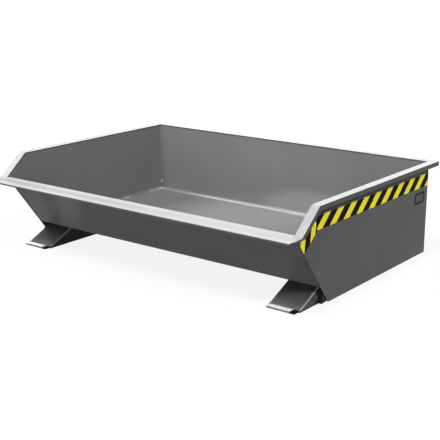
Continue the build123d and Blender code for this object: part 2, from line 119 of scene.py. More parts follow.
def new_tree(owner):
    """Empty node tree of a material or the world."""
    owner.use_nodes = True
    owner.node_tree.nodes.clear()
    return owner.node_tree


def per_metre(millimetres):
    """Scale of a pattern whose features are that size."""
    return 1000 / millimetres


print("mouse grey is", [round(value, 3) for value in linear("6a6a6a")])

# %% [markdown]
# ## Light tent
# The object stands in the soft light of a studio, which comes from all sides.  To the camera,
# and in gloss and glass, the tent looks white.  For the light that it sends onto the object it
# stays dark grey, so that the paint keeps its colour.  The Light Path node tells the one kind
# of ray from the other, so both are one world, and no lamp is needed for the white.

# %% Light tent
TENT_LIGHT = 0.1


def seen_directly(tree):
    """1 for a ray that shows the background: from the camera, or by gloss or glass."""
    path = add(tree, "LightPath").outputs
    mirrored = add(tree, "Math", {0: path["Is Glossy Ray"], 1: path["Is Transmission Ray"]},
                   operation="MAXIMUM")
    shown = add(tree, "Math", {0: path["Is Camera Ray"], 1: mirrored.outputs[0]},
                operation="MAXIMUM")
    return shown.outputs[0]


world = bpy.data.worlds.new("light_tent")
bpy.context.scene.world = world
tree = new_tree(world)
tent = add(tree, "Background", {"Color": linear("ffffff"), "Strength": TENT_LIGHT})
backdrop = add(tree, "Background", {"Color": linear("ffffff"), "Strength": 1.0})
shown = add(tree, "MixShader", {0: seen_directly(tree), 1: tent.outputs[0], 2: backdrop.outputs[0]})
add(tree, "OutputWorld", {"Surface": shown.outputs[0]})
print("light tent at", TENT_LIGHT)

# %% [markdown]
# ## Floor
# The floor is a wide sheet of pale paper.  It is seen as white, by the same rays as the tent, and
# it too sends up only a little light.  Its white could be all glow, but then nothing would stand
# on it: a part of it is still lit by the lamps, and that part takes the shadow.

# %% Floor
FLOOR_SIZE = 60.0
FLOOR_BOUNCE = "383838"           # its grey for the light that it sends up
FLOOR_LIT = "484848"              # its grey that the lamps light and the object shades
FLOOR_GLOW = 0.88                 # the rest of its white, which no shadow takes away

floor_mesh = bpy.data.meshes.new("floor")
bm = bmesh.new()
bmesh.ops.create_grid(bm, x_segments=1, y_segments=1, size=FLOOR_SIZE / 2)
bm.to_mesh(floor_mesh)
bm.free()
floor = bpy.data.objects.new("floor", floor_mesh)
bpy.context.scene.collection.objects.link(floor)

floor_paper = bpy.data.materials.new("pale_paper")
tree = new_tree(floor_paper)
bounce = add(tree, "BsdfDiffuse", {"Color": linear(FLOOR_BOUNCE)})
lit = add(tree, "BsdfDiffuse", {"Color": linear(FLOOR_LIT)})
glow = add(tree, "Emission", {"Color": linear("ffffff"), "Strength": FLOOR_GLOW})
pale = add(tree, "AddShader", {0: glow.outputs[0], 1: lit.outputs[0]})
shown = add(tree, "MixShader", {0: seen_directly(tree), 1: bounce.outputs[0], 2: pale.outputs[0]})
add(tree, "OutputMaterial", {"Surface": shown.outputs[0]})
floor_mesh.materials.append(floor_paper)
print("floor", FLOOR_SIZE, "m wide")

# %% [markdown]
# ## Lamps
# In the photograph what faces up is light, upright plates are darker, and what leans out is
# darker still.  The key lamp stands high in front, so the lip shades the panel and the noses
# under it.  A weak lamp high on the left and a fill from the right light the inside of the
# trough, and a wide lamp near the ground softens what the lip shades.  Two more, behind and at
# the left, show the rear wall and the left side to whoever walks round.  Sun lamps are enough:
# their light is even over the whole object, and their spread makes the shadows soft.

# %% Lamps
LAMPS = (                         # name, the way towards it, strength, spread in degrees
    ("key", (0.0, -0.5, 0.86), 4.2, 14),
    ("left", (-0.57, -0.3, 0.76), 0.5, 18),
    ("fill", (0.75, -0.1, 0.65), 2.35, 20),
    ("low", (0.15, -0.95, 0.06), 2.05, 40),
    ("back", (-0.2, 0.95, 0.22), 2.2, 60),
    ("side", (-0.95, 0.15, 0.22), 1.6, 60),
)
for name, direction, strength, spread in LAMPS:
    lamp_data = bpy.data.lights.new(name, "SUN")
    lamp_data.energy = strength
    lamp_data.angle = radians(spread)
    lamp = bpy.data.objects.new(name, lamp_data)
    lamp.rotation_euler = Vector(direction).to_track_quat("Z", "Y").to_euler()
    bpy.context.scene.collection.objects.link(lamp)
    print(name, "lamp, strength", strength)

# %% [markdown]
# ## Layers of marks and painted light
# Much of the hopper's colour is laid on in layers: marks of its own, and painted light and shade.
# Both could be painted into an image.  Here they follow from where a point is on the hopper, so
# they stay sharp at any distance: each layer is a mask, 1 where it lies, and a pair of greys that
# it has there.  One function lays them over each other.

# %% Layers of marks and painted light
DARK_AT = 0.3                     # values of the clouds that get a pair's dark and its light grey
LIGHT_AT = 0.7


def layered(tree, place, clouds, ground, marks_and_light):
    """Colour of a ground, and over it each layer: a mask, and the greys that it lays on."""
    colour = None
    for mask, dark, light in ((None, *ground), *marks_and_light):
        ramp = add(tree, "ValToRGB", {"Fac": clouds}, stops=((DARK_AT, dark), (LIGHT_AT, light)))
        shade = ramp.outputs["Color"]
        if mask:
            shade = add(tree, "MixRGB", {0: mask(tree, place), 1: colour, 2: shade}).outputs[0]
        colour = shade
    return colour


print("clouds are dark at", DARK_AT, "and light at", LIGHT_AT)

# %% [markdown]
# ## Satin coat
# The trough, its folds and the base are sprayed steel.  Sprayed paint is a dielectric with a
# satin gloss; it is even in colour, a little clouded where the coat is thicker, and it dries
# with a fine dimpled skin.  Clouds 300 mm across change its grey by a few steps and its gloss a
# little, and the sheet under it is not quite flat, which shows as slow waves in the gloss.

# %% Satin coat
COAT = 90                         # millimetres: patches of more and of less gloss
GLOSS_SPREAD = 0.04
WAVE = 260                        # millimetres: a wave in the sheet
WAVE_DEPTH = 1.2 * MM
SKIN_DEPTH = 0.06 * MM
PAINT_IOR = 1.45


def satin_coat(name, dark, light, gloss, sheen=0.06, skin=14, cloud=300, marks_and_light=()):
    """Satin coat with clouds and a dimpled skin, in millimetres; a real skin is too fine to show."""
    material = bpy.data.materials.new(name)
    tree = new_tree(material)
    place = add(tree, "TexCoord").outputs["Object"]
    clouds = add(tree, "TexNoise", {"Vector": place, "Scale": per_metre(cloud), "Detail": 3.0})
    colour = layered(tree, place, clouds.outputs["Fac"], (dark, light), marks_and_light)
    coat = add(tree, "TexNoise", {"Vector": place, "Scale": per_metre(COAT), "Detail": 2.0})
    satin = add(tree, "MapRange", {"Value": coat.outputs["Fac"], "To Min": gloss - GLOSS_SPREAD,
                                   "To Max": gloss + GLOSS_SPREAD})
    waves = add(tree, "TexNoise", {"Vector": place, "Scale": per_metre(WAVE), "Detail": 0.0})
    sheet = add(tree, "Bump", {"Height": waves.outputs["Fac"], "Strength": 1.0,
                               "Distance": WAVE_DEPTH})
    dimples = add(tree, "TexNoise", {"Vector": place, "Scale": per_metre(skin), "Detail": 1.0})
    peel = add(tree, "Bump", {"Height": dimples.outputs["Fac"], "Strength": 1.0,
                              "Distance": SKIN_DEPTH, "Normal": sheet.outputs[0]})
    paint = add(tree, "BsdfPrincipled", {"Base Color": colour, "Roughness": satin.outputs[0],
                                         "IOR": PAINT_IOR, "Specular IOR Level": sheen,
                                         "Normal": peel.outputs[0]})
    add(tree, "OutputMaterial", {"Surface": paint.outputs[0]})
    return material


print("a wave in the sheet is", WAVE, "mm long")

# %% [markdown]
# ## Mouse-grey paint
# All the sheet has the same grey.  The body's paint is the lightest and smoothest.  Folds, base
# and cheeks are a little duller, and darker by painted shade, as they lie under the rim and under
# the hopper; the hinge's lugs are painted nearly black, painted shade for the gap in which they
# sit.  The two greys of a pair are only a few steps apart, so that the clouds show as an uneven
# coat and not as a pattern.

# %% Mouse-grey paint
body_paint = satin_coat("mouse_grey_paint", "646464", "6a6a6a", gloss=0.36)
# Painted shade: folds, base and cheeks in a darker grey than the body's.
fold_shade_paint = satin_coat("painted_shade_fold_paint", "505050", "565656", gloss=0.38)
base_shade_paint = satin_coat("painted_shade_base_paint", "4a4a4a", "505050", gloss=0.4)
cheek_shade_paint = satin_coat("painted_shade_cheek_paint", "4a4a4a", "505050", gloss=0.42)
# Painted shade: the hinge's lugs nearly black.
hinge_shade_paint = satin_coat("painted_shade_hinge_paint", "161616", "1c1c1c", gloss=0.42)
for paint in (body_paint, fold_shade_paint, base_shade_paint, cheek_shade_paint, hinge_shade_paint):
    print("made", paint.name)

# %% [markdown]
# ## Where a point is, and where it looks
# Two things tell a mask where it is.  One is the distance from the hopper's middle plane: much
# of what is painted is alike on both sides, so one mask does for both.  The other is the direction
# in which a face looks, which tells the inside of a sheet from its outside.  Both come from the
# Texture Coordinate node, the first as a place in metres and the second as a normal.

# %% Where a point is, and where it looks
UPWARDS = (0, 0, 1)
TROUGH_INSIDE = (0, -0.5, 0.87)   # between the ways in which the floor and the rear wall look
PANEL_INSIDE = (0, 0.5, 0.87)
PANEL_OUTSIDE = (0, -0.8, -0.6)


def from_middle(tree, place):
    """Distance from the hopper's middle plane."""
    aside = add(tree, "SeparateXYZ", {0: place}).outputs["X"]
    return add(tree, "Math", {0: aside}, operation="ABSOLUTE").outputs[0]


def looking(tree, direction, least):
    """1 on faces that look in a direction, by the least cosine."""
    normal = add(tree, "TexCoord").outputs["Normal"]
    along = add(tree, "VectorMath", {0: normal, 1: direction}, operation="DOT_PRODUCT")
    turned = add(tree, "Math", {0: along.outputs["Value"], 1: least}, operation="GREATER_THAN")
    return turned.outputs[0]


# %% [markdown]
# ## Lit and shaded sides
# The inner faces of the side plates are painted paler, painted light inside the trough, and the
# outer faces a darker grey than the body's, painted shade.  A plate knows its inner face by the
# distance from the middle.

# %% Lit and shaded sides
side_low, side_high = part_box("right_side_plate")
INNER_FACE = (side_low[0] + side_high[0]) / 2         # up to the middle of the plate's thickness


def inner_face(tree, place):
    """1 on the inner faces of the side plates."""
    reach = from_middle(tree, place)
    return add(tree, "Math", {0: reach, 1: INNER_FACE}, operation="LESS_THAN").outputs[0]


# Painted light on the inner faces, painted shade on the outer faces.
side_light_and_shade_paint = satin_coat("painted_light_and_shade_side_paint", "565656", "5c5c5c", gloss=0.36,
                        marks_and_light=((inner_face, "666666", "6c6c6c"),))
print("made", side_light_and_shade_paint.name, "paler up to", round(INNER_FACE, 4), "m from the middle")

# %% [markdown]
# ## Soft patches
# Painted light is brightest in its middle, and less and less around.  A round gradient, stretched
# and turned to the size and lean of the patch, gives a mask with soft edges, and the direction in
# which a face looks keeps it on its own side of the sheet.

# %% Soft patches
def patch(middle, half_sizes, towards=TROUGH_INSIDE, lean=(0, 0, 0), fade=0.45):
    """Mask of a soft patch, in millimetres, on faces that look in a direction."""
    def mask(tree, place):
        near = add(tree, "Mapping", {"Vector": place, "Location": Vector(middle) * MM,
                                     "Rotation": lean, "Scale": Vector(half_sizes) * MM},
                   vector_type="TEXTURE")
        rounded = add(tree, "TexGradient", {"Vector": near.outputs[0]}, gradient_type="SPHERICAL")
        soft = add(tree, "MapRange", {"Value": rounded.outputs["Fac"], "From Max": fade},
                   interpolation_type="SMOOTHSTEP")
        facing = looking(tree, towards, least=0.3)
        return add(tree, "Math", {0: soft.outputs[0], 1: facing}, operation="MULTIPLY").outputs[0]
    return mask


REFLECTION_LEAN = (radians(30), radians(40), 0)           # up along the panel, and over to the right
# Painted light: a paler patch on the middle of the floor and one on the foot of the rear wall.
floor_painted_light = patch((-90, 330, 72), (400, 900, 90), fade=0.9)
wall_painted_light = patch((160, 500, 72), (310, 60, 130))
# Painted reflection of the left foot: two leaning paler streaks on the panel's outside.
long_painted_reflection = patch((-445, -348, 175), (90, 150, 330), PANEL_OUTSIDE, REFLECTION_LEAN, fade=0.9)
end_painted_reflection = patch((-670, -325, 145), (120, 150, 250), PANEL_OUTSIDE, REFLECTION_LEAN, fade=0.9)
print("4 soft patches, two of them leaning")

# %% [markdown]
# ## Painted light in the trough
# The middle of the floor and the foot of the rear wall are painted paler, as painted light, and
# the floor darker along the sides, as painted shade.  Outside, the panel is painted paler in two
# leaning streaks over its left foot, a painted reflection of that foot.  Each of these is a layer
# of its own, and a later one lies over those before it.

# %% Painted light in the trough
SIDE_SHADE = (180 * MM, 460 * MM)       # from the middle: where the painted shade begins, where it is full


def inside(tree, place):
    """1 on the floor and on the inner faces of the rear wall and the panel."""
    ahead = looking(tree, TROUGH_INSIDE, least=0.3)
    back = looking(tree, PANEL_INSIDE, least=0.6)
    return add(tree, "Math", {0: ahead, 1: back}, operation="MAXIMUM").outputs[0]


# Painted shade: the floor darker towards the side plates.
def sides_painted_shade(tree, place):
    """Painted shade on the floor, darker towards the sides."""
    dust = add(tree, "MapRange", {"Value": from_middle(tree, place), "From Min": SIDE_SHADE[0],
                                  "From Max": SIDE_SHADE[1]}, interpolation_type="SMOOTHSTEP")
    flat = looking(tree, UPWARDS, least=0.6)
    return add(tree, "Math", {0: dust.outputs[0], 1: flat}, operation="MULTIPLY").outputs[0]


# Painted light and shade in the trough's greys, and a painted reflection on the panel.
trough_light_and_shade_paint = satin_coat("painted_light_and_shade_trough_paint", "686868", "6e6e6e", gloss=0.36, sheen=0.03,
                          marks_and_light=((inside, "666666", "6c6c6c"), (sides_painted_shade, "585858", "5c5c5c"),
                                (floor_painted_light, "6e6e6e", "747474"),
                                (wall_painted_light, "7c7c7c", "828282"),
                                (long_painted_reflection, "888888", "8e8e8e"),
                                (end_painted_reflection, "7a7a7a", "808080")))
print("made", trough_light_and_shade_paint.name)

# %% [markdown]
# ## Shaded noses
# The noses of the fork pockets are pushed over floors and under loads, and lie under the lip and
# the panel.  Their paint is dark, as painted shade, less dark towards the toe, and bright along
# their rounded edges near the front, as a painted highlight.  The height on the nose gives the
# shade, and how far a point is from the nose's own middle gives the highlight.

# %% Shaded noses
nose_low, nose_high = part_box("right_pocket_roof")
NOSE_MIDDLE = (nose_low[0] + nose_high[0]) / 2        # from the hopper's middle
EDGE_BAND = 3.6 * MM
NOSE_EDGE = (nose_high[0] - nose_low[0]) / 2 - EDGE_BAND      # from the nose's own middle
NOSE_RISE = (16 * MM, 58 * MM)        # up the nose: where the painted shade is least, where it is full
NOSE_ENDS = (-250 * MM, -150 * MM)    # along it: where its edges are still bright, where no more


def nose_foot_less_shade(tree, place):
    """Painted shade lifted, the more the nearer to the ground."""
    up = add(tree, "SeparateXYZ", {0: place}).outputs["Z"]
    return add(tree, "MapRange", {"Value": up, "From Min": NOSE_RISE[0], "From Max": NOSE_RISE[1],
                                  "To Min": 1.0, "To Max": 0.0},
               interpolation_type="SMOOTHSTEP").outputs[0]


def nose_edge_highlights(tree, place):
    """Painted highlight on the edges at the front of a nose."""
    offset = add(tree, "Math", {0: from_middle(tree, place), 1: NOSE_MIDDLE}, operation="SUBTRACT")
    reach = add(tree, "Math", {0: offset.outputs[0]}, operation="ABSOLUTE")
    edge = add(tree, "Math", {0: reach.outputs[0], 1: NOSE_EDGE}, operation="GREATER_THAN")
    along = add(tree, "SeparateXYZ", {0: place}).outputs["Y"]
    near = add(tree, "MapRange", {"Value": along, "From Min": NOSE_ENDS[0], "From Max": NOSE_ENDS[1],
                                  "To Min": 1.0, "To Max": 0.0}, interpolation_type="SMOOTHSTEP")
    bright = add(tree, "Math", {0: edge.outputs[0], 1: near.outputs[0]}, operation="MULTIPLY")
    return bright.outputs[0]


# Painted shade on the noses, lighter near the ground, with painted highlights on their edges.
nose_shade_paint = satin_coat("painted_shade_nose_paint", "363636", "3c3c3c", gloss=0.4,
                        marks_and_light=((nose_foot_less_shade, "545454", "5a5a5a"), (nose_edge_highlights, "848484", "909090")))
print("made", nose_shade_paint.name, "for noses", round(NOSE_MIDDLE, 3), "m from the middle")

# %% [markdown]
# ## Pale rim
# The capping on the rim is painted pale, so that a driver sees it.  Its upper face has that
# paint, darker towards the right by painted shade, its cut edges are dark with painted shade, and
# the middle of the lip is painted darker, so that its edges show as painted highlights.  The
# capping could have a material for each face, but a mask by the direction of a face needs no
# list of faces, and one paint does for all four sides.

# %% Pale rim
RIM_SHADE = (-400 * MM, 300 * MM)     # along the rim: where the painted shade begins, where it is full
LIP_MIDDLE = -488 * MM
LIP_BAND = (4 * MM, 32 * MM)         # either side of the middle: where it is even, where it ends


def upper_face(tree, place):
    """1 on the faces of the capping that look up."""
    return looking(tree, UPWARDS, least=0.35)


def right_painted_shade(tree, place):
    """Painted shade on the upper face, more and more from left to right."""
    aside = add(tree, "SeparateXYZ", {0: place}).outputs["X"]
    dull = add(tree, "MapRange", {"Value": aside, "From Min": RIM_SHADE[0],
                                  "From Max": RIM_SHADE[1]}, interpolation_type="SMOOTHSTEP")
    upper = upper_face(tree, place)
    return add(tree, "Math", {0: upper, 1: dull.outputs[0]}, operation="MULTIPLY").outputs[0]


def lip_middle_shade(tree, place):
    """A soft line along the middle of the lip."""
    ahead = add(tree, "SeparateXYZ", {0: place}).outputs["Y"]
    offset = add(tree, "Math", {0: ahead, 1: LIP_MIDDLE}, operation="SUBTRACT")
    reach = add(tree, "Math", {0: offset.outputs[0]}, operation="ABSOLUTE").outputs[0]
    return add(tree, "MapRange", {"Value": reach, "From Min": LIP_BAND[0], "From Max": LIP_BAND[1],
                                  "To Min": 1.0, "To Max": 0.0},
               interpolation_type="SMOOTHSTEP").outputs[0]


# Painted shade: dark cut edges, a darker right half and a darker middle of the lip.
rim_paint = satin_coat("pale_rim_paint", "3c3c3c", "424242", gloss=0.38,
                       marks_and_light=((upper_face, "9a9a9a", "a0a0a0"), (right_painted_shade, "8c8c8c", "929292"),
                             (lip_middle_shade, "848484", "8c8c8c")))
print("made", rim_paint.name)

# %% [markdown]
# ## Bare and plated metal
# Bolts and the latch are galvanised, the bushes are turned bronze, and the hinge's pins are
# blackened and oiled; their black is also painted shade, so that they read as the dark gap in
# which they sit.  All are metals, so their colour is the colour of their reflection and their
# IOR stays as it is.  Fine scratches and spangles break the reflection up.  A spangle is a
# crystal of zinc, so a Voronoi pattern has the right outline; each of its cells has a colour by
# chance, and noise makes a tone of that colour.

# %% Metals
SHINE_SPREAD = 0.1
TONE_SCALE = 3.0                  # over the cells' colours, so it has no size in millimetres


def metal(name, dark, light, gloss, grain, metallic=1.0, sheen=0.5, marks_and_light=()):
    """Metal with spangles of a grain in millimetres; real scratches are too fine to show."""
    material = bpy.data.materials.new(name)
    tree = new_tree(material)
    place = add(tree, "TexCoord").outputs["Object"]
    spangle = add(tree, "TexVoronoi", {"Vector": place, "Scale": per_metre(grain)})
    tone = add(tree, "TexNoise", {"Vector": spangle.outputs["Color"], "Scale": TONE_SCALE,
                                  "Detail": 0.0})
    colour = layered(tree, place, tone.outputs["Fac"], (dark, light), marks_and_light)
    scratches = add(tree, "TexNoise", {"Vector": place, "Scale": per_metre(grain / 2), "Detail": 4.0})
    shine = add(tree, "MapRange", {"Value": scratches.outputs["Fac"], "To Min": gloss - SHINE_SPREAD,
                                   "To Max": gloss + SHINE_SPREAD})
    steel = add(tree, "BsdfPrincipled", {"Base Color": colour, "Roughness": shine.outputs[0],
                                         "Metallic": metallic, "Specular IOR Level": sheen})
    add(tree, "OutputMaterial", {"Surface": steel.outputs[0]})
    return material


zinc_steel = metal("galvanised_steel", "b4b6b8", "c8cacc", gloss=0.4, grain=8)
# Painted shade on the hinge's pins: near black, like the gap in which they sit.
black_steel = metal("blackened_steel", "1c1c1c", "262626", gloss=0.5, grain=5)
bush_bronze = metal("turned_bronze", "a8803c", "bc9450", gloss=0.35, grain=6)
print("made", zinc_steel.name, black_steel.name, bush_bronze.name)

# %% [markdown]
# ## Toe steel
# The toes are flat bar: its rolled face is bright, and its cut edges are painted darker as
# painted shade, which follows from the height, because the bar lies flat on the ground.  The
# right end of each bar is painted black, painted shade for the dark gap beside its cheek.  A film
# of dust makes the bar only in part a metal to the eye.

# %% Toe steel
FACE_BAND = 0.4 * MM
TOE_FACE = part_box("left_toe_strip")[1][2] - FACE_BAND
SHADE_FROM = 39 * MM              # from the middle of a toe


def cut_edges(tree, place):
    """1 below the upper face of a toe."""
    up = add(tree, "SeparateXYZ", {0: place}).outputs["Z"]
    return add(tree, "Math", {0: up, 1: TOE_FACE}, operation="LESS_THAN").outputs[0]


def toe_end_shade(tree, place):
    """1 at the right end of each toe."""
    aside = add(tree, "SeparateXYZ", {0: place}).outputs["X"]
    side = add(tree, "Math", {0: aside}, operation="SIGN").outputs[0]
    middle = add(tree, "Math", {0: side, 1: NOSE_MIDDLE}, operation="MULTIPLY").outputs[0]
    offset = add(tree, "Math", {0: aside, 1: middle}, operation="SUBTRACT").outputs[0]
    return add(tree, "Math", {0: offset, 1: SHADE_FROM}, operation="GREATER_THAN").outputs[0]


# Painted shade: darker edges below the bright face, and a black right end on each toe.
toe_steel = metal("bright_flat_bar", "d8d8d8", "ececec", gloss=0.5, grain=4, metallic=0.4,
                  sheen=0.05, marks_and_light=((cut_edges, "686868", "707070"), (toe_end_shade, "080808", "0e0e0e")))
print("made", toe_steel.name, "with its bright face above", round(TOE_FACE, 4))

# %% [markdown]
# ## Rubber and the blank plate
# The rest pads and the latch's grip are black moulded rubber: dull, slightly grey where it is
# touched.  The small plate on the right side is dark anodised aluminium with a grey field, and
# bears nothing.  Neither rubber nor a dyed anodised skin looks like metal, so both are satin
# coats as the paint is, the rubber duller, and both with a finer skin.

# %% Rubber and dark plate
pad_rubber = satin_coat("moulded_rubber", "141414", "1c1c1c", gloss=0.7, skin=3)
plate_black = satin_coat("dark_anodised_plate", "080809", "0c0c0d", gloss=0.4, skin=6)
plate_grey = satin_coat("grey_anodised_field", "4c4c4e", "545456", gloss=0.4, skin=6)
print("made", pad_rubber.name, plate_black.name, plate_grey.name)

# %% [markdown]
# ## Hazard tape
# The tape is 50 mm of printed plastic film from a roll, one length along the side and a second
# along the climb of the rim.  Its stripes follow the strip, so the pattern belongs on a UV map
# that is laid along each length, and not on the object's own axes.  The map counts stripes: the
# fraction of the count is below the yellow share on yellow, and above it on black.

# %% Hazard tape's finish
YELLOW_SHARE = 0.47
FILM_RUB = 40                     # millimetres: patches where the film is rubbed duller
FILM_GLOSS = (0.5, 0.6)
FILM_IOR = 1.49
FILM_SHEEN = 0.03

tape_film = bpy.data.materials.new("printed_hazard_film")
tree = new_tree(tape_film)
along = add(tree, "UVMap", uv_map="tape").outputs["UV"]
count = add(tree, "SeparateXYZ", {"Vector": along}).outputs["X"]
share = add(tree, "Math", {0: count}, operation="FRACT").outputs[0]
stripe = add(tree, "ValToRGB", {"Fac": share}, stops=((0.0, "ffec40"), (YELLOW_SHARE, "060606")))
stripe.color_ramp.interpolation = "CONSTANT"
place = add(tree, "TexCoord").outputs["Object"]
rub = add(tree, "TexNoise", {"Vector": place, "Scale": per_metre(FILM_RUB), "Detail": 3.0})
shine = add(tree, "MapRange", {"Value": rub.outputs["Fac"], "To Min": FILM_GLOSS[0],
                               "To Max": FILM_GLOSS[1]})
film = add(tree, "BsdfPrincipled", {"Base Color": stripe.outputs["Color"],
                                    "Roughness": shine.outputs[0], "IOR": FILM_IOR,
                                    "Specular IOR Level": FILM_SHEEN})
add(tree, "OutputMaterial", {"Surface": film.outputs[0]})
print("made", tape_film.name)

# %% [markdown]
# ## Dressing the CAD pieces
# The record says which finish each CAD piece has, so the pieces are dressed by a loop over it.
# The painted pieces that have a paint of their own are told by a part of their name.

# %% Dressing the CAD pieces
FINISHES = {"body_paint": body_paint, "rim_capping": rim_paint, "toe_steel": toe_steel,
            "hazard_tape": tape_film, "zinc_steel": zinc_steel, "black_steel": black_steel,
            "bush_bronze": bush_bronze, "pad_rubber": pad_rubber, "plate_black": plate_black}
OWN_PAINT = {"side_plate": side_light_and_shade_paint, "trough": trough_light_and_shade_paint, "pocket_roof": nose_shade_paint,
             "cheek": cheek_shade_paint, "hinge_boss": cheek_shade_paint, "hinge_lug": hinge_shade_paint,
             "straps": base_shade_paint, "cross_tube": base_shade_paint, "bracket": base_shade_paint,
             "latch_stop": base_shade_paint, "rim_fold": fold_shade_paint}
for subpart in frame["record"]["subparts"]:
    node = subpart["node"]
    finish = FINISHES[subpart["material_slot"]]
    for part_of_name, paint in OWN_PAINT.items():
        if part_of_name in node:
            finish = paint
    mesh = frame["nodes"][node].data
    mesh.materials.clear()
    mesh.materials.append(finish)

# %% [markdown]
# ## Broken edges
# A sharp corner looks like a drawing.  Flat bar, tube and rubber have edges that are rolled,
# ground or moulded round, and a thin line of light shows it.  A Bevel modifier rounds them
# without touching the CAD mesh; a Weld modifier before it joins that mesh's loose triangles.

# %% Broken edges
MERGE = 0.01 * MM
EDGE_SEGMENTS = 2
EDGE_ANGLE = radians(40)          # flatter edges belong to a rounding of the CAD model
EDGES = {"toe_strip": 0.8, "pocket_straps": 0.8, "rest_pads": 1.2, "cross_tube": 2.0,
         "floor_rib": 1.0, "keeper_pad": 0.8}         # millimetres
for name, node in frame["nodes"].items():
    for part_of_name, width in EDGES.items():
        if part_of_name in name:
            weld = node.modifiers.new("weld", "WELD")
            weld.merge_threshold = MERGE
            bevel = node.modifiers.new("broken edges", "BEVEL")
            bevel.width = width * MM
            bevel.segments = EDGE_SEGMENTS
            bevel.limit_method = "ANGLE"
            bevel.angle_limit = EDGE_ANGLE
print("rounded the edges of", ", ".join(EDGES))

# %% [markdown]
# ## A finished piece
# What Blender adds to the CAD model is a mesh with a finish.  It rides on one of the bodies, so
# that it moves with it, and the CAD pieces that it takes the place of, if any, are hidden.  All
# new pieces need this, so it is one function.

# %% A finished piece
def new_piece(name, bm, body, finish, slot, *replaced):
    """Finished piece from a bmesh, riding on a body."""
    mesh = bpy.data.meshes.new(name)
    bm.to_mesh(mesh)
    bm.free()
    mesh.materials.append(finish)
    piece = bpy.data.objects.new(name, mesh)
    bpy.context.scene.collection.objects.link(piece)
    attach(piece, body)
    if replaced:
        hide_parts(*replaced)
    return piece


# %% [markdown]
# ## Laying the tape
# The CAD tape has the right outline and thickness.  A copy of it is cut at the knee of the
# rim, where the two lengths of tape meet, and each half gets a UV map along its own direction.
# A mesh from CAD is loose triangles, so the copy's double vertices are merged first.

# %% Laying the tape
STRIPE_LEAN = tan(radians(47))
SIDE_PERIOD = 89.25 * MM          # one yellow and one black stripe, along the tape
CLIMB_PERIOD = 86.0 * MM
SIDE_STRIPE = Vector((0, 523.0, 309.0)) * MM      # middle of a yellow stripe on the long side
CLIMB_STRIPE = Vector((4.5, 71.0)) * MM           # the same on the climb: up along it, and below it
CLIMB_RUN = 104 * MM              # from the foot of the climb to the knee, along the hopper

climb_foot = Vector((0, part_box("right_rim_cap")[0][1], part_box("front_rim_cap")[1][2]))
rim_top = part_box("right_rim_cap")[1][2]
knee = climb_foot + Vector((0, CLIMB_RUN, rim_top - climb_foot.z))
climb = (knee - climb_foot).normalized()
below = Vector((0, climb.z, -climb.y))
mitre = (climb + Vector((0, 1, 0))).normalized()

for side in ("left", "right"):
    node = side + "_hazard_tape"
    bm = bmesh.new()
    bm.from_mesh(frame["nodes"][node].data)
    bmesh.ops.remove_doubles(bm, verts=bm.verts, dist=MERGE)
    bmesh.ops.bisect_plane(bm, geom=bm.verts[:] + bm.edges[:] + bm.faces[:], dist=MERGE,
                           plane_co=knee, plane_no=mitre)
    uv = bm.loops.layers.uv.new("tape")
    for face in bm.faces:
        climbing = (face.calc_center_median() - knee).dot(mitre) < 0
        for loop in face.loops:
            if climbing:
                offset = loop.vert.co - climb_foot
                slant = (offset.dot(below) - CLIMB_STRIPE.y) * STRIPE_LEAN
                count = (offset.dot(climb) - CLIMB_STRIPE.x + slant) / CLIMB_PERIOD
            else:
                offset = loop.vert.co - SIDE_STRIPE
                count = (offset.z * STRIPE_LEAN - offset.y) / SIDE_PERIOD
            loop[uv].uv = (count + YELLOW_SHARE / 2, 0)
    new_piece(side + "_striped_tape", bm, "hopper", tape_film, "hazard_tape", node)
print("laid the tape on both sides, with a joint at", [round(value, 3) for value in knee])

# %% [markdown]
# ## Weld beads
# Each side plate is welded to the trough all round the inside.  A fillet weld is a bead with
# two flat legs and a rounded face, laid down ripple by ripple.  It could be a texture, but the
# bead rounds the corner off and catches light, so it is modelled: one section of a few vertices
# is extruded from frame to frame along the corner, and every second one is a little fuller.
#
# A frame is a matrix.  Its first two columns are the directions in which the legs lie on the
# two plates, its third is square to both, and its last is the corner itself.

# %% Frames along a bead
RIPPLE = 8 * MM                   # real ripples are half as long, too fine to show
FULLER = 1.08


def corner(place, leg_one, leg_two, size):
    """Frame of a bead at a place, its legs as long as its size."""
    one = Vector(leg_one)
    two = Vector(leg_two)
    columns = Matrix((one, two, one.cross(two))).transposed() * size
    return Matrix.Translation(place) @ columns.to_4x4()


def rippled(corners, closed):
    """Frames between the corners of a path, every second one fuller."""
    stops = corners + corners[:1] if closed else corners
    frames = []
    for start, end in zip(stops, stops[1:]):
        length = (end.translation - start.translation).length
        steps = max(1, round(length / (RIPPLE / 2)))
        frames += [start.lerp(end, step / steps) for step in range(steps)]
    if not closed:
        frames.append(stops[-1])
    fuller = Matrix.Diagonal((FULLER, FULLER, 1, 1))
    return [each @ fuller if at % 2 else each for at, each in enumerate(frames)]


print("a ripple is", round(RIPPLE / MM), "mm long")

# %% [markdown]
# ## Laying a bead
# The section is drawn once, in the first frame, and its ring of edges is extruded.  The new ring
# is then moved by what turns one frame into the next.  An open bead is closed by a face at each
# end, and a bead that comes back to its start is bridged to it.

# %% Laying a bead
FILLET = ((-0.2, -0.2), (1, -0.2), (0.84, 0.48), (0.48, 0.84), (-0.2, 1))      # legs one long


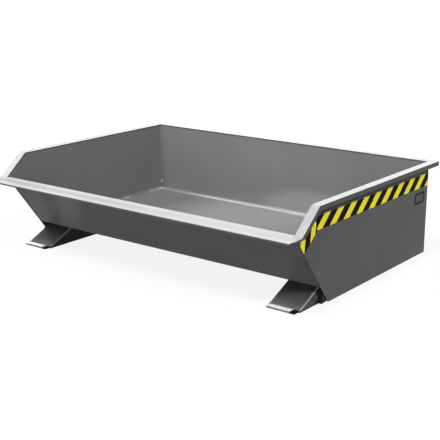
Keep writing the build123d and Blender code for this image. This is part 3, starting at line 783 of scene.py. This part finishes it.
def lay_bead(bm, corners, section=FILLET, closed=False):
    """Lays a bead into a bmesh along frames."""
    frames = rippled(corners, closed)
    ring = [bm.verts.new(frames[0] @ Vector((x, y, 0))) for x, y in section]
    edges = [bm.edges.new((ring[at - 1], ring[at])) for at in range(len(ring))]
    first = edges
    if not closed:
        bmesh.ops.contextual_create(bm, geom=edges)
    for before, after in zip(frames, frames[1:]):
        made = bmesh.ops.extrude_edge_only(bm, edges=edges)["geom"]
        verts = [item for item in made if isinstance(item, bmesh.types.BMVert)]
        edges = [item for item in made
                 if isinstance(item, bmesh.types.BMEdge) and set(item.verts) <= set(verts)]
        bmesh.ops.transform(bm, matrix=after @ before.inverted(), verts=verts)
    if closed:
        bmesh.ops.bridge_loops(bm, edges=first + edges)
    else:
        bmesh.ops.contextual_create(bm, geom=edges)


def finish_beads(name, bm, body, finish, slot, *replaced):
    """Piece of all the beads in a bmesh."""
    bmesh.ops.recalc_face_normals(bm, faces=bm.faces)
    print(name, "has", len(bm.faces), "faces")
    new_piece(name, bm, body, finish, slot, *replaced)


print("a fillet's section has", len(FILLET), "corners")

# %% [markdown]
# ## Seams inside the hopper
# The seam runs down the panel, round the front bend, along the floor, round the rear bend and up
# the rear wall.  Straight runs need only their two ends, because the frames between them are
# worked out.  A bend gets a few frames of its own that turn with the sheet.

# %% Seams inside the hopper
SHEET = 3 * MM
FLOOR_TOP = 72 * MM
SEAM = 5 * MM                     # length of a leg
PANEL = radians(52.8)             # the panel's slope
FLOOR_RUN = 779 * MM              # from the rear wall to where the panel would meet the floor
FRONT_BEND = 12 * MM
REAR_BEND = 6 * MM
BEND_STEPS = 6
LIP_UNDERSIDE = 284 * MM
SEAM_TOP = 9 * MM                 # below the top of the rim

trough_low, trough_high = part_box("trough_sheet")
inner_side = trough_high[0]
rear_wall = trough_high[1] - SHEET
panel_foot = rear_wall - FLOOR_RUN
panel_head = panel_foot - (LIP_UNDERSIDE - FLOOR_TOP) / tan(PANEL)
front_middle = panel_foot + FRONT_BEND * tan(PANEL / 2)
BENDS = (                         # middle along the hopper, radius, slope before and after
    (front_middle, FRONT_BEND, PANEL, 0),
    (rear_wall - REAR_BEND, REAR_BEND, 0, -pi / 2),
)
for side, name in ((-1, "left"), (1, "right")):
    inwards = (-side, 0, 0)
    x = side * inner_side
    off_panel = (0, sin(PANEL), cos(PANEL))
    corners = [corner((x, panel_head, LIP_UNDERSIDE), inwards, off_panel, SEAM)]
    for y, radius, before, after in BENDS:
        middle = Vector((x, y, FLOOR_TOP + radius))
        for step in range(BEND_STEPS + 1):
            turn = before + (after - before) * step / BEND_STEPS
            off_sheet = Vector((0, sin(turn), cos(turn)))
            corners.append(corner(middle - radius * off_sheet, inwards, off_sheet, SEAM))
    corners.append(corner((x, rear_wall, rim_top - SEAM_TOP), inwards, (0, -1, 0), SEAM))
    bm = bmesh.new()
    lay_bead(bm, corners)
    finish_beads(name + "_inside_seam", bm, "hopper", body_paint, "body_paint")

# %% [markdown]
# ## Paths round a foot
# Lugs, bosses, tubes and the keeper's pad are welded all round to the plate that they stand on.
# Such a bead is a closed path: it follows the foot of the piece and turns round its corners, and
# a round foot is nothing but corners.  The CAD box of a piece gives the size of its foot.

# %% Paths round a foot
QUARTER = 6                       # steps in a quarter turn


def all_round(middle, out, half_sizes, size, radius=0.0):
    """Path round the foot of a piece that stands out from an upright plate."""
    out = Vector(out)
    one = Vector((0, 1, 0)) if out.x else Vector((1, 0, 0))
    two = Vector((0, 0, 1))
    steps = QUARTER if radius else QUARTER + 1
    corners = []
    for quarter, (right, up) in enumerate(((1, 1), (-1, 1), (-1, -1), (1, -1))):
        for step in range(steps):
            turn = pi / 2 * (quarter + step / QUARTER)
            leg = cos(turn) * one + sin(turn) * two
            foot = Vector(middle) + right * half_sizes[0] * one + up * half_sizes[1] * two
            corners.append(corner(foot + radius * leg, leg, out, size))
    return corners


def foot_on(node, at, out, size, rounded=False):
    """Path round a node's foot, at a place along the direction in which it stands out."""
    low, high = (Vector(each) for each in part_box(node))
    middle = (low + high) / 2
    across = 1 if out[0] else 0
    middle[1 - across] = at
    half_sizes = ((high[across] - low[across]) / 2, (high.z - low.z) / 2)
    if rounded:
        return all_round(middle, out, (0, 0), size, radius=half_sizes[1])
    return all_round(middle, out, half_sizes, size)


print("a round foot has", 4 * QUARTER, "corners")

# %% [markdown]
# ## Seams on the rear wall and the base
# On the rear wall are the two lugs of the lifting bow and the keeper's pad, on the base the ends
# of the cross tubes and the hinge's bosses.  The lugs are one CAD piece, so its box holds both,
# and their feet follow from the thickness of a lug.

# %% Seams on the rear wall and the base
LUG = 8 * MM                      # thickness of a lug
LUG_BEAD = 4 * MM
PAD_BEAD = 3 * MM
TUBE_BEAD = 4 * MM
BOSS_BEAD = 3 * MM

rear_face = trough_high[1]
lug_low, lug_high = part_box("bow_lugs")
lug_foot = (LUG / 2, (lug_high[2] - lug_low[2]) / 2)
bm = bmesh.new()
for side in (-1, 1):
    middle = (side * (lug_high[0] - LUG / 2), rear_face, (lug_low[2] + lug_high[2]) / 2)
    lay_bead(bm, all_round(middle, (0, 1, 0), lug_foot, LUG_BEAD), closed=True)
lay_bead(bm, foot_on("keeper_pad", rear_face, (0, 1, 0), PAD_BEAD), closed=True)
finish_beads("rear_wall_seams", bm, "hopper", body_paint, "body_paint")

bm = bmesh.new()
for tube in ("front_cross_tube", "rear_cross_tube"):
    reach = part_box(tube)[1][0]
    for side in (-1, 1):
        lay_bead(bm, foot_on(tube, side * reach, (-side, 0, 0), TUBE_BEAD), closed=True)
finish_beads("cross_tube_seams", bm, "base", base_shade_paint, "body_paint")

bm = bmesh.new()
for name, side in (("left", -1), ("right", 1)):
    cheek_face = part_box(name + "_outer_cheek")[0 if side < 0 else 1][0]
    path = foot_on(name + "_hinge_boss", cheek_face, (side, 0, 0), BOSS_BEAD, rounded=True)
    lay_bead(bm, path, closed=True)
finish_beads("hinge_boss_seams", bm, "base", cheek_shade_paint, "body_paint")

# %% [markdown]
# ## Stitches along the floor ribs
# The floor ribs are only stitched, with short beads and gaps between them, because a long bead
# would warp the thin floor.  A stitch is an open bead with two ends.

# %% Stitches along the floor ribs
STITCH = 50 * MM
STITCH_SPACING = 140 * MM
FIRST_STITCH = 30 * MM            # from the front end of a rib
STITCH_BEAD = 4 * MM

underside = trough_low[2]
bm = bmesh.new()
for rib in ("left_floor_rib", "middle_floor_rib", "right_floor_rib"):
    low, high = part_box(rib)
    for edge, outwards in ((low[0], -1), (high[0], 1)):
        start = low[1] + FIRST_STITCH
        while start + STITCH < high[1]:
            ends = [corner((edge, y, underside), (outwards, 0, 0), (0, 0, -1), STITCH_BEAD)
                    for y in (start, start + STITCH)]
            lay_bead(bm, ends)
            start += STITCH_SPACING
finish_beads("rib_stitches", bm, "hopper", body_paint, "body_paint")

# %% [markdown]
# ## Blank plate
# The small plate on the right side is punched from sheet, with rounded corners, a dark border
# and a plain grey field.  A square is enough to start from: its corners are bevelled, it is
# extruded to the sheet's thickness, and its face is inset for the field.

# %% Blank plate
PLATE_CORNER = 11 * MM
CORNER_SEGMENTS = 6
PLATE_BORDER = 9 * MM
FIELD_DEPTH = 0.2 * MM

low, high = (Vector(each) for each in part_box("blank_plate"))
centre = (low + high) / 2
upright = Matrix(((0, 0, 1), (high.y - low.y, 0, 0), (0, high.z - low.z, 0))).to_4x4()
bm = bmesh.new()
bmesh.ops.create_grid(bm, x_segments=1, y_segments=1, size=0.5)
bmesh.ops.transform(bm, verts=bm.verts,
                    matrix=Matrix.Translation((low.x, centre.y, centre.z)) @ upright)
bmesh.ops.bevel(bm, geom=bm.verts[:], offset=PLATE_CORNER, segments=CORNER_SEGMENTS, profile=0.5,
                affect="VERTICES", material=-1)
made = bmesh.ops.extrude_face_region(bm, geom=bm.faces[:])["geom"]
raised = [item for item in made if isinstance(item, bmesh.types.BMVert)]
bmesh.ops.translate(bm, verts=raised, vec=(high.x - low.x, 0, 0))
bmesh.ops.recalc_face_normals(bm, faces=bm.faces)
field = max(bm.faces, key=lambda face: face.calc_center_median().x)
bmesh.ops.inset_region(bm, faces=[field], thickness=PLATE_BORDER, depth=-FIELD_DEPTH)
field.material_index = 1
plate = new_piece("bordered_plate", bm, "hopper", plate_black, "plate_black", "blank_plate")
plate.data.materials.append(plate_grey)
print("plate", [round(value / MM, 1) for value in high - low], "mm")

# %% [markdown]
# ## Plate rivets
# Four rivets with domed heads hold the plate.  A sphere cut in half would do from afar, but a
# set rivet is flatter, with a short steep edge.  Half of that section is drawn in a few
# vertices and spun round the rivet's axis.

# %% Plate rivets
# Half of a head, in millimetres: out from the axis, and up.
HEAD = ((0.0, 0.0), (3.0, 0.0), (2.85, 0.3), (2.2, 0.8), (1.2, 1.1), (0.0, 1.2))
HEAD_STEPS = 16
RIVET_INSET = 6 * MM

bm = bmesh.new()
for y in (low.y + RIVET_INSET, high.y - RIVET_INSET):
    for z in (low.z + RIVET_INSET, high.z - RIVET_INSET):
        middle = Vector((high.x, y, z))
        verts = [bm.verts.new(middle + Vector((up, out, 0)) * MM) for out, up in HEAD]
        edges = [bm.edges.new(pair) for pair in zip(verts, verts[1:])]
        bmesh.ops.spin(bm, geom=verts + edges, cent=middle, axis=(1, 0, 0), angle=2 * pi,
                       steps=HEAD_STEPS, use_merge=True)
bmesh.ops.remove_doubles(bm, verts=bm.verts, dist=MERGE)
bmesh.ops.recalc_face_normals(bm, faces=bm.faces)
new_piece("domed_rivets", bm, "hopper", black_steel, "black_steel", "blank_plate_rivets")
print("4 rivets, heads", HEAD[-1][1], "mm high")

# %% [markdown]
# ## Ribbed grip
# The latch's handle ends in a rubber sleeve with ribs across it, so that it doesn't slip in a
# gloved hand.  A sleeve could be cut with rings, but the weld beads already give the way: a
# rounded section goes from frame to frame along the handle, and every second one is fuller.

# %% Ribbed grip
GRIP_SECTION = ((-16.6, -4.4), (-14.6, -6.4), (14.6, -6.4), (16.6, -4.4),
                (16.6, 4.4), (14.6, 6.4), (-14.6, 6.4), (-16.6, 4.4))         # millimetres
GRIP_REACH = ((106, 1.0), (170, 1.0), (173, 0.8))     # millimetres from the pivot, and how full
HANDLE_LEAN = radians(40)

low, high = (Vector(each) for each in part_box("latch_grip"))
bolt_low, bolt_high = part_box("latch_bolt")
pivot = Vector((0, (low.y + high.y) / 2, (bolt_low[2] + bolt_high[2]) / 2))
handle = Vector((sin(HANDLE_LEAN), 0, cos(HANDLE_LEAN)))
across = Vector((cos(HANDLE_LEAN), 0, -sin(HANDLE_LEAN)))
sleeve = [corner(pivot + reach * MM * handle, across, (0, 1, 0), size * MM)
          for reach, size in GRIP_REACH]
bm = bmesh.new()
lay_bead(bm, sleeve, section=GRIP_SECTION)
finish_beads("ribbed_grip", bm, "latch", pad_rubber, "pad_rubber", "latch_grip")

# %% [markdown]
# ## Seam sealer's finish
# The foot of the rear wall is sealed against wet loads.  Sealer is a paste that sets dull, with
# brush marks in its skin.  Its pale middle is a painted highlight along the crease, which fades
# to the paint's grey towards the sides as painted shade, and the dabs in the corners are pale
# again.

# %% Seam sealer's finish
HIGHLIGHT_FADES = (320 * MM, 640 * MM)   # from the middle: where it begins to, where it is grey
SEALER_DABBED = (640 * MM, 690 * MM)  # where it begins to be pale again, where it is
DAB_SHARE = 0.55                      # how pale


def sealer_highlight_and_dabs(tree, place):
    """Pale in the middle and, by a share, at the sides."""
    reach = from_middle(tree, place)
    clean = add(tree, "MapRange", {"Value": reach, "From Min": HIGHLIGHT_FADES[0],
                                   "From Max": HIGHLIGHT_FADES[1], "To Min": 1.0, "To Max": 0.0},
                interpolation_type="SMOOTHSTEP")
    dab = add(tree, "MapRange", {"Value": reach, "From Min": SEALER_DABBED[0],
                                 "From Max": SEALER_DABBED[1], "To Max": DAB_SHARE},
              interpolation_type="SMOOTHSTEP")
    pale = add(tree, "Math", {0: clean.outputs[0], 1: dab.outputs[0]}, operation="MAXIMUM")
    return pale.outputs[0]


# Painted highlight: the pale middle of the sealer along the crease.
sealer_paste = satin_coat("brushed_seam_sealer", "626262", "6a6a6a", gloss=0.6, skin=9, cloud=60,
                          marks_and_light=((sealer_highlight_and_dabs, "8c8c8c", "989898"),))
print("made", sealer_paste.name)

# %% [markdown]
# ## Seam sealer
# The sealer is brushed into the crease in a band about 30 mm wide, and dabbed along the floor's
# sides and up the two corners.  It is a low hump with thin edges, so it has the same way of
# making as a bead, with a flat section in millimetres and frames whose size is one millimetre.
# Up a corner the frames grow and shrink again, so the dab tapers at both ends.

# %% Seam sealer
SEALER = ((7, -0.3), (8, 0.9), (13, 1.7), (20, 1.8), (27, 1.3), (32, 0.6), (34, -0.3))
SEALER_END = 1 * MM                                # short of the side plates
DAB = ((5, -0.3), (8, 1.2), (14, 1.8), (20, 1.0), (23, -0.3))
SIDE_DABS = ((10, 62), (68, 107), (245, 290))      # millimetres from the rear wall
CORNER_DAB = ((-1, -1), (9, -0.3), (6.2, 4.2), (4.2, 6.2), (-0.3, 9))
CORNER_RISE = ((17, 0.4), (25, 1.0), (31, 0.9), (40, 0.3))      # millimetres up, and how full

bm = bmesh.new()
reach = inner_side - SEALER_END
ends = [corner((x, rear_wall, FLOOR_TOP), (0, -1, 0), UPWARDS, MM) for x in (-reach, reach)]
lay_bead(bm, ends, section=SEALER)
for side in (-1, 1):
    x = side * inner_side
    inwards = (-side, 0, 0)
    for dab in SIDE_DABS:
        ends = [corner((x, rear_wall - back * MM, FLOOR_TOP), inwards, UPWARDS, MM) for back in dab]
        lay_bead(bm, ends, section=DAB)
    ends = [corner((x, rear_wall, FLOOR_TOP + rise * MM), inwards, (0, -1, 0), size * MM)
            for rise, size in CORNER_RISE]
    lay_bead(bm, ends, section=CORNER_DAB)
finish_beads("rear_seam_sealer", bm, "hopper", sealer_paste, "body_paint")
